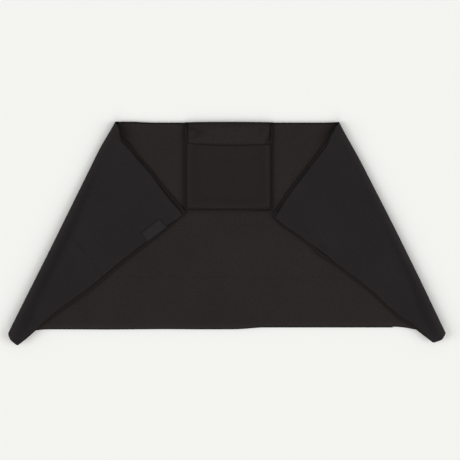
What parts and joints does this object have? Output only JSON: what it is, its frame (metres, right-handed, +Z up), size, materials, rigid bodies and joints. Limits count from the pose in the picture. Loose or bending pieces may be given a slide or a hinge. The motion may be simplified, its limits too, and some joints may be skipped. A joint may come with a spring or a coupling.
{
  "type": "film changing bag",
  "caption": "Flat two-walled cloth bag with both open ends folded in over the front, a patch pocket and a woven label.",
  "frame": {"origin": "centre of the folded bag's box in plan, on the surface that its back lies on", "axes": "+X along the bag to the right, +Y across it towards the top edge with the pocket, +Z up out of the front"},
  "size_m": [0.8648, 0.4454, 0.0144],
  "materials": {
    "shell_cloth": "matt brushed polyester, black",
    "lining_cloth": "coated blackout lining, black",
    "pocket_cloth": "matt polyester with a fine diagonal weave, black",
    "binding_tape": "plain woven tape, black",
    "label_satin": "woven satin, black, bare",
    "elastic_band": "ribbed knitted elastic, black",
    "zip_tape": "twill zip tape, black",
    "zip_coil": "nylon coil, black",
    "zip_metal": "zinc alloy, black enamel"
  },
  "bodies": {
    "middle": {"middle_back_shell": "shell_cloth", "middle_back_lining": "lining_cloth", "middle_front_lining": "lining_cloth", "middle_front_shell": "shell_cloth", "top_seam_binding": "binding_tape", "bottom_seam_binding": "binding_tape", "pocket_back": "pocket_cloth", "pocket_left_seam": "pocket_cloth", "pocket_right_seam": "pocket_cloth", "pocket_bottom_seam": "pocket_cloth", "outer_zip_upper_tape": "zip_tape", "outer_zip_lower_tape": "zip_tape", "outer_zip_upper_coil": "zip_coil", "outer_zip_lower_coil": "zip_coil", "outer_zip_stops": "zip_metal", "inner_zip_upper_tape": "zip_tape", "inner_zip_lower_tape": "zip_tape", "inner_zip_upper_coil": "zip_coil", "inner_zip_lower_coil": "zip_coil", "inner_zip_stops": "zip_metal"},
    "left_end": {"left_end_back_shell": "shell_cloth", "left_end_back_lining": "lining_cloth", "left_end_front_lining": "lining_cloth", "left_end_front_shell": "shell_cloth", "left_fold_roll": "shell_cloth", "left_end_hem": "shell_cloth", "left_sleeve": "lining_cloth", "left_cuff_elastic": "elastic_band", "woven_label": "label_satin"},
    "right_end": {"right_end_back_shell": "shell_cloth", "right_end_back_lining": "lining_cloth", "right_end_front_lining": "lining_cloth", "right_end_front_shell": "shell_cloth", "right_fold_roll": "shell_cloth", "right_end_hem": "shell_cloth", "right_sleeve": "lining_cloth", "right_cuff_elastic": "elastic_band"},
    "pocket_panel": {"pocket_front": "pocket_cloth", "pocket_mouth_hem": "pocket_cloth"},
    "outer_slider": {"outer_zip_slider": "zip_metal"},
    "outer_pull": {"outer_zip_pull_tab": "zip_metal"},
    "inner_slider": {"inner_zip_slider": "zip_metal", "inner_zip_pull_tab": "zip_metal"}
  },
  "joints": [
    {"name": "left_end_fold", "type": "hinge", "parent": "middle", "child": "left_end", "pos_m": [-0.21972, 0.2196, 0.007], "axis": [-0.4415, -0.8973, 0], "range_deg": [0, 179], "deforming": ["left_fold_roll"]},
    {"name": "right_end_fold", "type": "hinge", "parent": "middle", "child": "right_end", "pos_m": [0.21972, 0.2196, 0.007], "axis": [-0.4415, 0.8973, 0], "range_deg": [0, 179], "deforming": ["right_fold_roll"]},
    {"name": "pocket_mouth_lift", "type": "hinge", "parent": "middle", "child": "pocket_panel", "pos_m": [0, 0.05399, 0.0083], "axis": [1, 0, 0], "range_deg": [0, 12]},
    {"name": "outer_zip_slide", "type": "slide", "parent": "middle", "child": "outer_slider", "axis": [1, 0, 0], "range_m": [0, 0.365]},
    {"name": "outer_pull_swing", "type": "hinge", "parent": "outer_slider", "child": "outer_pull", "pos_m": [-0.1895, -0.036, 0.00037], "axis": [0, 1, 0], "range_deg": [0, 90]},
    {"name": "inner_zip_slide", "type": "slide", "parent": "middle", "child": "inner_slider", "axis": [1, 0, 0], "range_m": [0, 0.365]}
  ]
}
